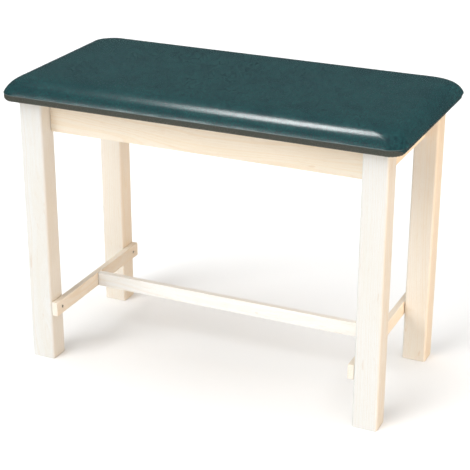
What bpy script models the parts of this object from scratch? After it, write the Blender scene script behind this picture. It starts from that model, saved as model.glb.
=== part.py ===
"""Fixed treatment table: a padded top on a maple frame with an H-shaped brace near the floor.

Metres, +Z up. +X runs along the length to the right, -Y is the front, and the origin is on the
floor under the middle of the table. Every separate piece is its own object.
"""

import math

import bmesh
import bpy
from mathutils import Matrix, Vector

# ---------------------------------------------------------------- driving dimensions
GAP = 0.0003  # clearance between pieces that touch

LEG_LENGTH = 0.8415
LEG_SIZE_X = 0.075
LEG_SIZE_Y = 0.068
LEG_SPAN_X = 1.136  # over the outer faces of the legs
LEG_SPAN_Y = 0.530
LEG_EDGE_RADIUS = 0.007
LEG_EDGE_SEGMENTS = 4
LEG_FOOT_CHAMFER = 0.0015

BOARD = 0.019  # thickness of aprons, rails and stretcher
BOARD_EDGE = 0.0015
APRON_HEIGHT = 0.106
LONG_APRON_SET = 0.049  # front face of a long apron, in from the legs' front faces
END_APRON_SET = 0.040  # the same for an end apron

RAIL_HEIGHT = 0.045
RAIL_BOTTOM = 0.1505
RAIL_END_SET = 0.0025  # rail ends, in from the legs' front and rear faces

DECK_LENGTH = 1.219
DECK_WIDTH = 0.610
DECK_THICKNESS = 0.019
DECK_CORNER_RADIUS = 0.0465

VINYL = 0.0012
PAD_TOP = 0.9045
PAD_BULGE = 0.002  # the foam pushes the cover out this far beyond the band round the deck
PAD_EDGE_RADIUS = 0.0375
CREASE_ABOVE_DECK = 0.0017
CREASE_HEIGHT = 0.003
HEM_WIDTH = 0.026
FOAM_FOOT_CHAMFER = 0.005

BLOCK_NEAR = 0.022  # where a corner block starts and ends along each apron, from the inner corner
BLOCK_FAR = 0.076
BLOCK_HEIGHT = 0.080
CLEAT_SIZE = 0.022
CLEAT_LENGTH = 0.300

BOLT_DIAMETER = 0.008
BOLT_IN_LEG = 0.050
BOLT_PROUD = 0.006
BOLT_POINT = 0.008
BOLT_CHAMFER = 0.001
BOLT_HEIGHTS = {"lower": 0.782, "upper": 0.820}
NUT_ACROSS_FLATS = 0.0127
NUT_HEIGHT = 0.008
NUT_FLANGE_DIAMETER = 0.018
NUT_FLANGE_HEIGHT = 0.0018
NUT_FLANGE_RIM = 0.0010

LONG_SCREW = {"length": 0.060, "shank": 0.0048, "head": 0.0095, "head_height": 0.0027}
SHORT_SCREW = {"length": 0.032, "shank": 0.0042, "head": 0.0084, "head_height": 0.0024}
SCREW_POINT = 0.006
HEAD_LAND = 0.0003  # upright rim of a countersunk head
RECESS_REACH = 0.58  # length of the cross recess, as a part of the head's diameter
RECESS_WIDTH = 0.0011
RECESS_DEPTH = 0.0016
DECK_SCREW_IN_WOOD = 0.020  # length of a deck screw below the deck
DECK_SCREW_OFFSET = (0.0386, 0.0104)  # in from the aprons' inner corner, along X and along Y
BLOCK_SCREW_ALONG = 0.060
BLOCK_SCREW_SEAT = 0.0145
COUNTERBORE = 0.0006  # a bored seat is this much wider than the head, all round
HOLE_RUN_OUT = 0.070  # how far a hole's cutter goes on above the head
CLEAT_SCREW_X = 0.110
STRETCHER_SCREW_SPREAD = 0.011

ROUND_STEPS = 12
ROUND_SEGMENTS = 5  # across the pad's top edge
EASED_SEGMENTS = 2
CORNER_STEPS = 7

# ---------------------------------------------------------------- derived places
LEG_X = (LEG_SPAN_X - LEG_SIZE_X) / 2
LEG_Y = (LEG_SPAN_Y - LEG_SIZE_Y) / 2
LEG_INNER_X = LEG_SPAN_X / 2 - LEG_SIZE_X
LEG_INNER_Y = LEG_SPAN_Y / 2 - LEG_SIZE_Y
LONG_APRON_Y = LEG_SPAN_Y / 2 - LONG_APRON_SET - BOARD / 2
LONG_APRON_INNER = LONG_APRON_Y - BOARD / 2
END_APRON_X = LEG_SPAN_X / 2 - END_APRON_SET - BOARD / 2
END_APRON_INNER = END_APRON_X - BOARD / 2
APRON_Z = LEG_LENGTH - APRON_HEIGHT / 2
RAIL_Z = RAIL_BOTTOM + RAIL_HEIGHT / 2
RAIL_X = LEG_INNER_X - GAP - BOARD / 2
RAIL_INNER_X = RAIL_X - BOARD / 2
DECK_BOTTOM = LEG_LENGTH + GAP
DECK_TOP = DECK_BOTTOM + DECK_THICKNESS
BAND_HALF = (DECK_LENGTH / 2 + GAP + VINYL, DECK_WIDTH / 2 + GAP + VINYL)
PAD_HALF = (BAND_HALF[0] + PAD_BULGE, BAND_HALF[1] + PAD_BULGE)
PAD_CORNER_RADIUS = DECK_CORNER_RADIUS + GAP + VINYL + PAD_BULGE
COVER_BOTTOM = DECK_BOTTOM - GAP - VINYL
CREASE_Z = DECK_TOP + CREASE_ABOVE_DECK
BLOCK_TOP = LEG_LENGTH - GAP
SIDES = {"front": -1, "rear": 1}
ENDS = {"left": -1, "right": 1}

# ---------------------------------------------------------------- scene and collections


def clear_scene():
    for obj in list(bpy.data.objects):
        bpy.data.objects.remove(obj, do_unlink=True)


def new_collection(name):
    made = bpy.data.collections.new(name)
    bpy.context.scene.collection.children.link(made)
    return made


clear_scene()
parts = new_collection("treatment_table")
cutters = new_collection("cutters")
table = bpy.data.objects.new("table_origin", None)
parts.objects.link(table)

# ---------------------------------------------------------------- materials


def material(name, colour, roughness, metallic=0.0):
    made = bpy.data.materials.new(name)
    made.use_nodes = True
    shader = made.node_tree.nodes["Principled BSDF"]
    shader.inputs["Base Color"].default_value = (*colour, 1.0)
    shader.inputs["Roughness"].default_value = roughness
    shader.inputs["Metallic"].default_value = metallic
    made.diffuse_color = (*colour, 1.0)
    return made


MAPLE = material("maple", (0.84, 0.70, 0.51), 0.42)
PLYWOOD = material("plywood", (0.62, 0.44, 0.26), 0.60)
FOAM = material("foam", (0.80, 0.74, 0.55), 0.95)
VINYL_TEAL = material("teal_vinyl", (0.022, 0.075, 0.072), 0.38)
ZINC = material("zinc_steel", (0.60, 0.60, 0.58), 0.32, 1.0)

# ---------------------------------------------------------------- helpers


def add_part(name, mesh, finish, place=Matrix.Identity(4)):
    obj = bpy.data.objects.new(name, mesh)
    parts.objects.link(obj)
    obj.parent = table
    obj.matrix_local = place
    if not mesh.materials:
        mesh.materials.append(finish)
    return obj


def add_cutter(name, mesh, place):
    obj = bpy.data.objects.new(name, mesh)
    cutters.objects.link(obj)
    obj.matrix_world = place
    obj.hide_render = True
    obj.display_type = "WIRE"
    return obj


def cut(part, cutter):
    drill = part.modifiers.new(cutter.name, "BOOLEAN")
    drill.operation = "DIFFERENCE"
    drill.object = cutter


def finish_mesh(name, shape):
    bmesh.ops.recalc_face_normals(shape, faces=shape.faces)
    mesh = bpy.data.meshes.new(name)
    shape.to_mesh(mesh)
    shape.free()
    return mesh


def box_shape(size):
    shape = bmesh.new()
    bmesh.ops.create_cube(shape, size=1.0)
    bmesh.ops.scale(shape, vec=Vector(size), verts=shape.verts)
    return shape


def is_upright(edge):
    along = (edge.verts[1].co - edge.verts[0].co).normalized()
    return abs(along.z) > 0.999


def round_uprights(shape, radius, segments):
    edges = [edge for edge in shape.edges if is_upright(edge)]
    bmesh.ops.bevel(shape, geom=edges, offset=radius, segments=segments, profile=0.5,
                    affect="EDGES", clamp_overlap=True)


def rim_edges(shape, height):
    return [edge for edge in shape.edges if all(abs(v.co.z - height) < 1e-6 for v in edge.verts)]


def round_rim(shape, height, radius, segments):
    bmesh.ops.bevel(shape, geom=rim_edges(shape, height), offset=radius, segments=segments,
                    profile=0.5, affect="EDGES", clamp_overlap=True)


def board_mesh(name, size):
    """A sawn board with its sharp edges taken off."""
    shape = box_shape(size)
    bmesh.ops.bevel(shape, geom=list(shape.edges), offset=BOARD_EDGE, segments=EASED_SEGMENTS,
                    profile=0.5, affect="EDGES")
    return finish_mesh(name, shape)


def baked_mesh(name, obj):
    """The evaluated mesh of a helper object, which is then removed."""
    graph = bpy.context.evaluated_depsgraph_get()
    mesh = bpy.data.meshes.new_from_object(obj.evaluated_get(graph))
    mesh.name = name
    shape = bmesh.new()
    shape.from_mesh(mesh)
    bmesh.ops.remove_doubles(shape, verts=shape.verts, dist=1e-6)
    bmesh.ops.recalc_face_normals(shape, faces=shape.faces)
    shape.to_mesh(mesh)
    shape.free()
    bpy.data.objects.remove(obj, do_unlink=True)
    return mesh


def turned_mesh(name, profile):
    """A turned piece from (radius, height) points listed from its top to its bottom."""
    outline = bmesh.new()
    points = [outline.verts.new((radius, 0.0, height)) for radius, height in profile]
    for upper, lower in zip(points, points[1:]):
        outline.edges.new((upper, lower))
    mesh = bpy.data.meshes.new(name + "_profile")
    outline.to_mesh(mesh)
    outline.free()
    helper = bpy.data.objects.new(name + "_helper", mesh)
    cutters.objects.link(helper)
    screw = helper.modifiers.new("turn", "SCREW")
    screw.axis = "Z"
    screw.angle = math.tau
    screw.steps = screw.render_steps = ROUND_STEPS
    screw.use_merge_vertices = True
    screw.merge_threshold = 0.00001
    turned = baked_mesh(name, helper)
    turned.shade_smooth()
    turned.set_sharp_from_angle(angle=math.radians(35))
    return turned


def boolean_mesh(name, first, second, operation):
    """first and second are meshes about the same origin; the result is one closed mesh."""
    helper = bpy.data.objects.new(name + "_first", first)
    other = bpy.data.objects.new(name + "_second", second)
    for obj in (helper, other):
        cutters.objects.link(obj)
    step = helper.modifiers.new("join", "BOOLEAN")
    step.operation = operation
    step.object = other
    mesh = baked_mesh(name, helper)
    bpy.data.objects.remove(other, do_unlink=True)
    return mesh


def aim(place, direction):
    """A matrix that puts a fastener's head at place and runs its shank along direction."""
    turn = Vector(direction).to_track_quat("-Z", "Y").to_matrix().to_4x4()
    return Matrix.Translation(Vector(place)) @ turn


# ---------------------------------------------------------------- fastener shapes


def screw_mesh(name, sizes):
    """A countersunk wood screw, its head's flat top at the origin and its point down."""
    shank = sizes["shank"] / 2
    body = turned_mesh(name + "_body", [
        (0.0, 0.0),
        (sizes["head"] / 2, 0.0),
        (sizes["head"] / 2, -HEAD_LAND),
        (shank, -sizes["head_height"]),
        (shank, -sizes["length"] + SCREW_POINT),
        (0.0, -sizes["length"]),
    ])
    arm = sizes["head"] * RECESS_REACH
    cross = boolean_mesh(name + "_cross",
                         finish_mesh("arm_x", box_shape((arm, RECESS_WIDTH, 2 * RECESS_DEPTH))),
                         finish_mesh("arm_y", box_shape((RECESS_WIDTH, arm, 2 * RECESS_DEPTH))),
                         "UNION")
    return boolean_mesh(name, body, cross, "DIFFERENCE")


def screw_hole_mesh(name, sizes, counterbore=0.0):
    """The clearance that a countersunk screw needs, open above its head."""
    shank = sizes["shank"] / 2 + GAP
    head = sizes["head"] / 2 + GAP
    opening = head + counterbore
    return turned_mesh(name, [
        (0.0, HOLE_RUN_OUT),
        (opening, HOLE_RUN_OUT),
        (opening, -HEAD_LAND),
        (shank, -sizes["head_height"] - GAP - counterbore),
        (shank, -sizes["length"] + SCREW_POINT),
        (0.0, -sizes["length"] - 2 * GAP),
    ])


def hanger_bolt_mesh(name, length):
    radius = BOLT_DIAMETER / 2
    return turned_mesh(name, [
        (0.0, 0.0),
        (radius - BOLT_CHAMFER, 0.0),
        (radius, -BOLT_CHAMFER),
        (radius, -length + BOLT_POINT),
        (0.0, -length),
    ])


def bolt_hole_mesh(name, length):
    radius = BOLT_DIAMETER / 2 + GAP
    return turned_mesh(name, [
        (0.0, 2 * GAP),
        (radius, 2 * GAP),
        (radius, -length + BOLT_POINT),
        (0.0, -length - 2 * GAP),
    ])


def flange_nut_mesh(name):
    """A hexagon on a round flange, bored through, its seat at the origin and its top up."""
    hexagon = bmesh.new()
    bmesh.ops.create_cone(hexagon, cap_ends=True, segments=6,
                          radius1=NUT_ACROSS_FLATS / math.sqrt(3),
                          radius2=NUT_ACROSS_FLATS / math.sqrt(3), depth=NUT_HEIGHT)
    bmesh.ops.translate(hexagon, vec=(0, 0, NUT_HEIGHT / 2), verts=hexagon.verts)
    flange = turned_mesh(name + "_flange", [
        (0.0, NUT_FLANGE_HEIGHT),
        (NUT_FLANGE_DIAMETER / 2 - NUT_FLANGE_RIM, NUT_FLANGE_HEIGHT),
        (NUT_FLANGE_DIAMETER / 2, NUT_FLANGE_HEIGHT - NUT_FLANGE_RIM),
        (NUT_FLANGE_DIAMETER / 2, 0.0),
        (0.0, 0.0),
    ])
    bore = turned_mesh(name + "_bore", [
        (0.0, 2 * NUT_HEIGHT),
        (BOLT_DIAMETER / 2 + GAP, 2 * NUT_HEIGHT),
        (BOLT_DIAMETER / 2 + GAP, -NUT_HEIGHT),
        (0.0, -NUT_HEIGHT),
    ])
    solid = boolean_mesh(name + "_solid", finish_mesh(name + "_hexagon", hexagon), flange, "UNION")
    return boolean_mesh(name, solid, bore, "DIFFERENCE")


# ---------------------------------------------------------------- wooden frame


def make_legs():
    legs = {}
    for side, sy in SIDES.items():
        for end, sx in ENDS.items():
            shape = box_shape((LEG_SIZE_X, LEG_SIZE_Y, LEG_LENGTH))
            round_uprights(shape, LEG_EDGE_RADIUS, LEG_EDGE_SEGMENTS)
            round_rim(shape, -LEG_LENGTH / 2, LEG_FOOT_CHAMFER, 1)
            place = Matrix.Translation((sx * LEG_X, sy * LEG_Y, LEG_LENGTH / 2))
            name = f"leg_{side}_{end}"
            legs[side, end] = add_part(name, finish_mesh(name, shape), MAPLE, place)
            legs[side, end].data.shade_smooth()
            legs[side, end].data.set_sharp_from_angle(angle=math.radians(35))
    return legs


def make_aprons():
    aprons = {}
    long_size = (2 * (LEG_INNER_X - GAP), BOARD, APRON_HEIGHT)
    end_size = (BOARD, 2 * (LEG_INNER_Y - GAP), APRON_HEIGHT)
    for side, sy in SIDES.items():
        place = Matrix.Translation((0, sy * LONG_APRON_Y, APRON_Z))
        aprons[side] = add_part(f"apron_{side}", board_mesh(f"apron_{side}", long_size), MAPLE, place)
    for end, sx in ENDS.items():
        place = Matrix.Translation((sx * END_APRON_X, 0, APRON_Z))
        aprons[end] = add_part(f"apron_{end}", board_mesh(f"apron_{end}", end_size), MAPLE, place)
    return aprons


def make_brace():
    """The low H: a rail on the inner faces of each pair of legs, and a stretcher between them."""
    brace = {}
    rail_size = (BOARD, LEG_SPAN_Y - 2 * RAIL_END_SET, RAIL_HEIGHT)
    for end, sx in ENDS.items():
        place = Matrix.Translation((sx * RAIL_X, 0, RAIL_Z))
        mesh = board_mesh(f"end_rail_{end}", rail_size)
        brace[end] = add_part(f"end_rail_{end}", mesh, MAPLE, place)
    stretcher_size = (2 * (RAIL_INNER_X - GAP), BOARD, RAIL_HEIGHT)
    mesh = board_mesh("stretcher", stretcher_size)
    brace["stretcher"] = add_part("stretcher", mesh, MAPLE, Matrix.Translation((0, 0, RAIL_Z)))
    return brace


def corner_block_mesh(name):
    """A wedge across the corner of two aprons: a flat outline, extruded to its height."""
    outline = bpy.data.curves.new(name, "CURVE")
    outline.dimensions = "2D"
    outline.fill_mode = "BOTH"
    outline.extrude = BLOCK_HEIGHT / 2
    path = outline.splines.new("POLY")
    corners = [(BLOCK_NEAR, GAP), (BLOCK_FAR, GAP), (GAP, BLOCK_FAR), (GAP, BLOCK_NEAR)]
    path.points.add(len(corners) - 1)
    for point, (x, y) in zip(path.points, corners):
        point.co = (x, y, 0, 1)
    path.use_cyclic_u = True
    helper = bpy.data.objects.new(name + "_helper", outline)
    cutters.objects.link(helper)
    return baked_mesh(name, helper)


def make_blocks():
    """The wedge is symmetric about its corner's diagonal, so each corner is a quarter turn."""
    in_turn = [("front", "left"), ("front", "right"), ("rear", "right"), ("rear", "left")]
    blocks = {}
    for turns, (side, end) in enumerate(in_turn):
        corner = (ENDS[end] * END_APRON_INNER, SIDES[side] * LONG_APRON_INNER)
        place = Matrix.Translation((*corner, BLOCK_TOP - BLOCK_HEIGHT / 2))
        place = place @ Matrix.Rotation(turns * math.pi / 2, 4, "Z")
        name = f"corner_block_{side}_{end}"
        blocks[side, end] = add_part(name, corner_block_mesh(name), MAPLE, place)
    return blocks


def make_cleats():
    cleats = {}
    for side, sy in SIDES.items():
        size = (CLEAT_LENGTH, CLEAT_SIZE, CLEAT_SIZE)
        place = (0, sy * (LONG_APRON_INNER - GAP - CLEAT_SIZE / 2), BLOCK_TOP - CLEAT_SIZE / 2)
        mesh = board_mesh(f"cleat_{side}", size)
        cleats[side] = add_part(f"cleat_{side}", mesh, MAPLE, Matrix.Translation(place))
    return cleats


# ---------------------------------------------------------------- padded top


def make_deck():
    shape = box_shape((DECK_LENGTH, DECK_WIDTH, DECK_THICKNESS))
    round_uprights(shape, DECK_CORNER_RADIUS, CORNER_STEPS)
    place = Matrix.Translation((0, 0, DECK_BOTTOM + DECK_THICKNESS / 2))
    return add_part("deck_panel", finish_mesh("deck_panel", shape), PLYWOOD, place)


def make_foam():
    bottom = DECK_TOP + GAP
    top = PAD_TOP - VINYL - GAP
    inset = VINYL + GAP
    shape = box_shape((2 * (PAD_HALF[0] - inset), 2 * (PAD_HALF[1] - inset), top - bottom))
    round_uprights(shape, PAD_CORNER_RADIUS - inset, CORNER_STEPS)
    round_rim(shape, -(top - bottom) / 2, FOAM_FOOT_CHAMFER, 1)
    round_rim(shape, (top - bottom) / 2, PAD_EDGE_RADIUS - inset, ROUND_SEGMENTS)
    foam = add_part("foam_pad", finish_mesh("foam_pad", shape), FOAM,
                    Matrix.Translation((0, 0, (top + bottom) / 2)))
    foam.data.shade_smooth()
    foam.data.set_sharp_from_angle(angle=math.radians(40))


def plan_normal(point, half, radius):
    """Which way the rounded rectangle's outline faces at this point, seen from above."""
    core = Vector((max(abs(point.x) - half[0] + radius, 0), max(abs(point.y) - half[1] + radius, 0)))
    if core.length < 1e-9:
        return Vector((0, 0, 0))
    core.normalize()
    return Vector((math.copysign(core.x, point.x), math.copysign(core.y, point.y), 0))


def make_cover():
    """One sheet over the foam and round the deck's edge, its hem turned under the deck."""
    height = PAD_TOP - COVER_BOTTOM
    middle = (PAD_TOP + COVER_BOTTOM) / 2
    shape = box_shape((2 * PAD_HALF[0], 2 * PAD_HALF[1], height))
    round_uprights(shape, PAD_CORNER_RADIUS, CORNER_STEPS)
    round_rim(shape, height / 2, PAD_EDGE_RADIUS, ROUND_SEGMENTS)
    for level in (CREASE_Z, CREASE_Z + CREASE_HEIGHT):
        bmesh.ops.bisect_plane(shape, geom=[*shape.verts, *shape.edges, *shape.faces], dist=1e-7,
                               plane_co=(0, 0, level - middle), plane_no=(0, 0, 1))
    for vert in shape.verts:
        if vert.co.z < CREASE_Z - middle + 1e-6:
            vert.co -= plan_normal(vert.co, PAD_HALF, PAD_CORNER_RADIUS) * PAD_BULGE
    underside = [face for face in shape.faces if face.normal.z < -0.99]
    bmesh.ops.inset_region(shape, faces=underside, thickness=HEM_WIDTH, use_even_offset=True)
    bmesh.ops.delete(shape, geom=underside, context="FACES")
    cover = add_part("vinyl_cover", finish_mesh("vinyl_cover", shape), VINYL_TEAL,
                     Matrix.Translation((0, 0, middle)))
    sheet = cover.modifiers.new("sheet", "SOLIDIFY")
    sheet.thickness = VINYL
    sheet.offset = -1
    sheet.use_even_offset = True
    cover.data.shade_smooth()
    cover.data.set_sharp_from_angle(angle=math.radians(40))


# ---------------------------------------------------------------- fasteners and their holes


def fasten(name, mesh, hole, place, through):
    """Puts in one fastener and cuts its clearance hole in every piece it passes through."""
    add_part(name, mesh, ZINC, place)
    cutter = add_cutter("hole_" + name, hole, place)
    for piece in through:
        cut(piece, cutter)


def fit_leg_bolts(legs, aprons, blocks):
    """Hanger bolts run on the diagonal of each corner, through its block and into the leg."""
    seat = BLOCK_FAR / math.sqrt(2)
    length = BOLT_IN_LEG + seat + GAP + NUT_HEIGHT + BOLT_PROUD
    bolt = hanger_bolt_mesh("hanger_bolt", length)
    hole = bolt_hole_mesh("bolt_hole", length)
    nut = flange_nut_mesh("flange_nut")
    for (side, end), block in blocks.items():
        corner = Vector((ENDS[end] * END_APRON_INNER, SIDES[side] * LONG_APRON_INNER, 0))
        inward = Vector((-ENDS[end], -SIDES[side], 0)).normalized()
        for level, height in BOLT_HEIGHTS.items():
            name = f"{side}_{end}_{level}"
            head = corner + inward * (length - BOLT_IN_LEG) + Vector((0, 0, height))
            through = [legs[side, end], block, aprons[end]]
            fasten("hanger_bolt_" + name, bolt, hole, aim(head, -inward), through)
            nut_place = corner + inward * (seat + GAP) + Vector((0, 0, height))
            add_part("flange_nut_" + name, nut, ZINC, aim(nut_place, -inward))


def fit_block_and_deck_screws(aprons, blocks, cleats, deck):
    screw = screw_mesh("short_screw", SHORT_SCREW)
    hole = screw_hole_mesh("short_screw_hole", SHORT_SCREW)
    bored = screw_hole_mesh("counterbored_hole", SHORT_SCREW, COUNTERBORE)
    head_z = DECK_BOTTOM - DECK_SCREW_IN_WOOD
    for (side, end), block in blocks.items():
        sx = ENDS[end]
        sy = SIDES[side]
        corner = Vector((sx * END_APRON_INNER, sy * LONG_APRON_INNER, BLOCK_TOP - BLOCK_HEIGHT / 2))
        along = corner + Vector((-sx * BLOCK_SCREW_ALONG, -sy * BLOCK_SCREW_SEAT, 0))
        fasten(f"block_screw_{side}_{end}_long", screw, bored, aim(along, (0, sy, 0)),
               [block, aprons[side]])
        across = corner + Vector((-sx * BLOCK_SCREW_SEAT, -sy * BLOCK_SCREW_ALONG, 0))
        fasten(f"block_screw_{side}_{end}_end", screw, bored, aim(across, (sx, 0, 0)),
               [block, aprons[end]])
        upright = (corner.x - sx * DECK_SCREW_OFFSET[0], corner.y - sy * DECK_SCREW_OFFSET[1], head_z)
        fasten(f"deck_screw_{side}_{end}", screw, bored, aim(upright, (0, 0, 1)), [block, deck])
    for side, cleat in cleats.items():
        middle_y = SIDES[side] * (LONG_APRON_INNER - GAP - CLEAT_SIZE / 2)
        for end, sx in ENDS.items():
            place = aim((sx * CLEAT_SCREW_X, middle_y, BLOCK_TOP - CLEAT_SIZE + GAP), (0, 0, 1))
            fasten(f"deck_screw_cleat_{side}_{end}", screw, hole, place, [cleat, deck])


def fit_brace_screws(legs, brace):
    screw = screw_mesh("long_screw", LONG_SCREW)
    hole = screw_hole_mesh("long_screw_hole", LONG_SCREW)
    for end, sx in ENDS.items():
        rail = brace[end]
        for side, sy in SIDES.items():
            place = aim((sx * (RAIL_INNER_X + GAP), sy * LEG_Y, RAIL_Z), (sx, 0, 0))
            fasten(f"rail_screw_{side}_{end}", screw, hole, place, [rail, legs[side, end]])
        for level, rise in {"lower": -1, "upper": 1}.items():
            height = RAIL_Z + rise * STRETCHER_SCREW_SPREAD
            place = aim((sx * (LEG_INNER_X - 2 * GAP), 0, height), (-sx, 0, 0))
            through = [rail, brace["stretcher"]]
            fasten(f"stretcher_screw_{end}_{level}", screw, hole, place, through)


legs = make_legs()
aprons = make_aprons()
brace = make_brace()
blocks = make_blocks()
cleats = make_cleats()
deck = make_deck()
make_foam()
make_cover()
fit_leg_bolts(legs, aprons, blocks)
fit_block_and_deck_screws(aprons, blocks, cleats, deck)
fit_brace_screws(legs, brace)
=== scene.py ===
# %% [markdown]
# # A padded treatment table, finished in Blender
#
# The table is a maple frame with an H-shaped brace near the floor, and a plywood deck upholstered
# in teal vinyl. Its wooden parts and its fasteners arrive as a finished model with fixed sizes.
# This lesson gives them their finish. It also makes the cover, the foam, the deck with its eased
# edges and the staples, which need finer meshes than a plain solid has.
#
# Its box function gives the two opposite corners of a part, so the pieces made here start from
# the real places of the parts.

# %% Load the frame
import math
import random

import bmesh
import bpy
from mathutils import Euler, Matrix, Vector, noise


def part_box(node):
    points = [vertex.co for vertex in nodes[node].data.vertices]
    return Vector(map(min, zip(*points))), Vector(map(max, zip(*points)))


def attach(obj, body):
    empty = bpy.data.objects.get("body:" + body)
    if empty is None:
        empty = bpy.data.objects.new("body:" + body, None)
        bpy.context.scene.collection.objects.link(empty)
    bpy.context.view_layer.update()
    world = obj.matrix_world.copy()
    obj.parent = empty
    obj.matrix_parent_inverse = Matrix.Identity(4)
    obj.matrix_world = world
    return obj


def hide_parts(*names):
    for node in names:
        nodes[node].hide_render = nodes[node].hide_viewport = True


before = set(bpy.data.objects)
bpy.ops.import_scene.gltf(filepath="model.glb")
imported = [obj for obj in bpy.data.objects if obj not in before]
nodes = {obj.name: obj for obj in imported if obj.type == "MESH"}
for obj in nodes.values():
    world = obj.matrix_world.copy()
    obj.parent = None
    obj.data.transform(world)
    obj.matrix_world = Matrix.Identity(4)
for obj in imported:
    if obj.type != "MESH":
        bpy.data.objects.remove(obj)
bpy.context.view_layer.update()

# %% [markdown]
# ## The camera
#
# A long lens from a raised three-quarter view keeps the legs almost upright. The camera stands
# about four metres from the table. Its place is given as a point and a target, and the rotation
# follows from the two, which is easier to adjust than three angles. A camera looks down its own
# -Z axis, so that is the axis to_track_quat is told to aim.

# %% Camera
CAMERA_PLACE = Vector((1.597, -3.524, 2.037))
CAMERA_TARGET = Vector((0.007, 0.0, 0.408))
CAMERA_ROLL = math.radians(0.14)
CAMERA_LENS = 105.7  # millimetres
CAMERA_SENSOR = 36.0  # millimetres wide
CAMERA_REACH = 100.0  # metres: nothing further away is drawn


def aim_at(obj, target, roll=0.0):
    """Turns a camera or a light at obj's place towards target."""
    turn = (Vector(target) - obj.location).to_track_quat("-Z", "Y").to_matrix().to_4x4()
    obj.rotation_euler = (turn @ Matrix.Rotation(roll, 4, "Z")).to_euler()


lens = bpy.data.cameras.new("camera")
lens.lens = CAMERA_LENS
lens.sensor_width = CAMERA_SENSOR
lens.clip_end = CAMERA_REACH
camera = bpy.data.objects.new("camera", lens)
bpy.context.scene.collection.objects.link(camera)
camera.location = CAMERA_PLACE
aim_at(camera, CAMERA_TARGET, CAMERA_ROLL)
bpy.context.scene.camera = camera
print("camera distance", round((CAMERA_TARGET - CAMERA_PLACE).length, 3), "m")

# %% [markdown]
# ## Wiring materials
#
# Every finish below is a tree of procedural nodes, so a few small helpers keep the wiring
# readable. The first starts a material and returns its tree and its shader. The second adds a
# node, sets its properties, and fills its sockets with constants or with another node's output.
# The others stand for what is wired again and again: noise, a ramp, a blend, a product and bump.

# %% Node helpers


def new_finish(name, roughness, metallic=0.0, specular=0.5):
    made = bpy.data.materials.new(name)
    made.use_nodes = True
    shader = made.node_tree.nodes["Principled BSDF"]
    shader.inputs["Roughness"].default_value = roughness
    shader.inputs["Metallic"].default_value = metallic
    shader.inputs["Specular IOR Level"].default_value = specular
    return made, made.node_tree, shader


def add_node(tree, kind, sockets=None, **settings):
    made = tree.nodes.new("ShaderNode" + kind)
    for name, value in settings.items():
        setattr(made, name, value)
    for key, value in (sockets or {}).items():
        if isinstance(value, bpy.types.NodeSocket):
            tree.links.new(value, made.inputs[key])
        else:
            made.inputs[key].default_value = value
    return made.outputs


def noise_at(tree, vector, stretch, detail=2.0, roughness=0.5):
    """Noise whose features are 1 / stretch metres long along each axis."""
    scaled = add_node(tree, "VectorMath", {0: vector, 1: stretch}, operation="MULTIPLY")["Vector"]
    return add_node(tree, "TexNoise", {"Vector": scaled, "Scale": 1.0, "Detail": detail,
                                       "Roughness": roughness})


def ramp(tree, value, low, high, floor=0.0, top=1.0):
    """Spreads the part of value between low and high over floor to top, with soft ends."""
    return add_node(tree, "MapRange", {"Value": value, "From Min": low, "From Max": high,
                                       "To Min": floor, "To Max": top},
                    interpolation_type="SMOOTHSTEP")["Result"]


def blend_colour(tree, factor, first, second):
    """Mixes two colours, each a constant or a socket. Sockets 6 and 7 are the colour ones."""
    return add_node(tree, "Mix", {0: factor, 6: first, 7: second}, data_type="RGBA")[2]


def multiply(tree, first, second):
    return add_node(tree, "Math", {0: first, 1: second}, operation="MULTIPLY")["Value"]


def add_relief(tree, shader, height, strength, depth):
    """Bump: a height socket shades the surface as if it rose and fell by depth metres."""
    sockets = {"Height": height, "Strength": strength, "Distance": depth}
    tree.links.new(add_node(tree, "Bump", sockets)["Normal"], shader.inputs["Normal"])


def rgb(red, green, blue):
    return (red, green, blue, 1.0)


# %% [markdown]
# ## Floor
#
# The table stands on a plain pale floor, one very wide plane, so that no edge of it is in view. A
# slow noise between two near-whites keeps it from being a flat colour. It is hidden from glossy
# rays, or the vinyl's steep sides would mirror it as a grey haze.

# %% Floor
FLOOR_REACH = 30.0
FLOOR_PALE = rgb(0.97, 0.97, 0.965)
FLOOR_SHADE = rgb(0.95, 0.95, 0.945)


def make_floor():
    bpy.ops.mesh.primitive_plane_add(size=2 * FLOOR_REACH, location=(0, 0, 0))
    floor = bpy.context.object
    floor.name = "studio_floor"
    finish, tree, shader = new_finish("pale_floor", roughness=0.85, specular=0.1)
    place = add_node(tree, "TexCoord")["Object"]
    drift = noise_at(tree, place, (0.6, 0.6, 0.6), detail=3.0)["Fac"]
    colour = blend_colour(tree, drift, FLOOR_PALE, FLOOR_SHADE)
    tree.links.new(colour, shader.inputs["Base Color"])
    floor.data.materials.append(finish)
    floor.visible_glossy = False


make_floor()
print("floor", 2 * FLOOR_REACH, "m wide")

# %% [markdown]
# ## Room
#
# A white room gives soft light from all sides. Glossy vinyl would mirror such a room and turn
# grey, so the world's strength depends on what kind of ray asks: full where it is seen directly,
# less on rough surfaces, and nearly dark in a reflection. The Light Path node tells the kinds of
# ray apart.

# %% Room light
ROOM_LIGHT = 0.36  # on rough surfaces
ROOM_IN_GLOSS = 0.09  # seen in a glossy surface
ROOM_SEEN = 1.0  # seen directly


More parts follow.
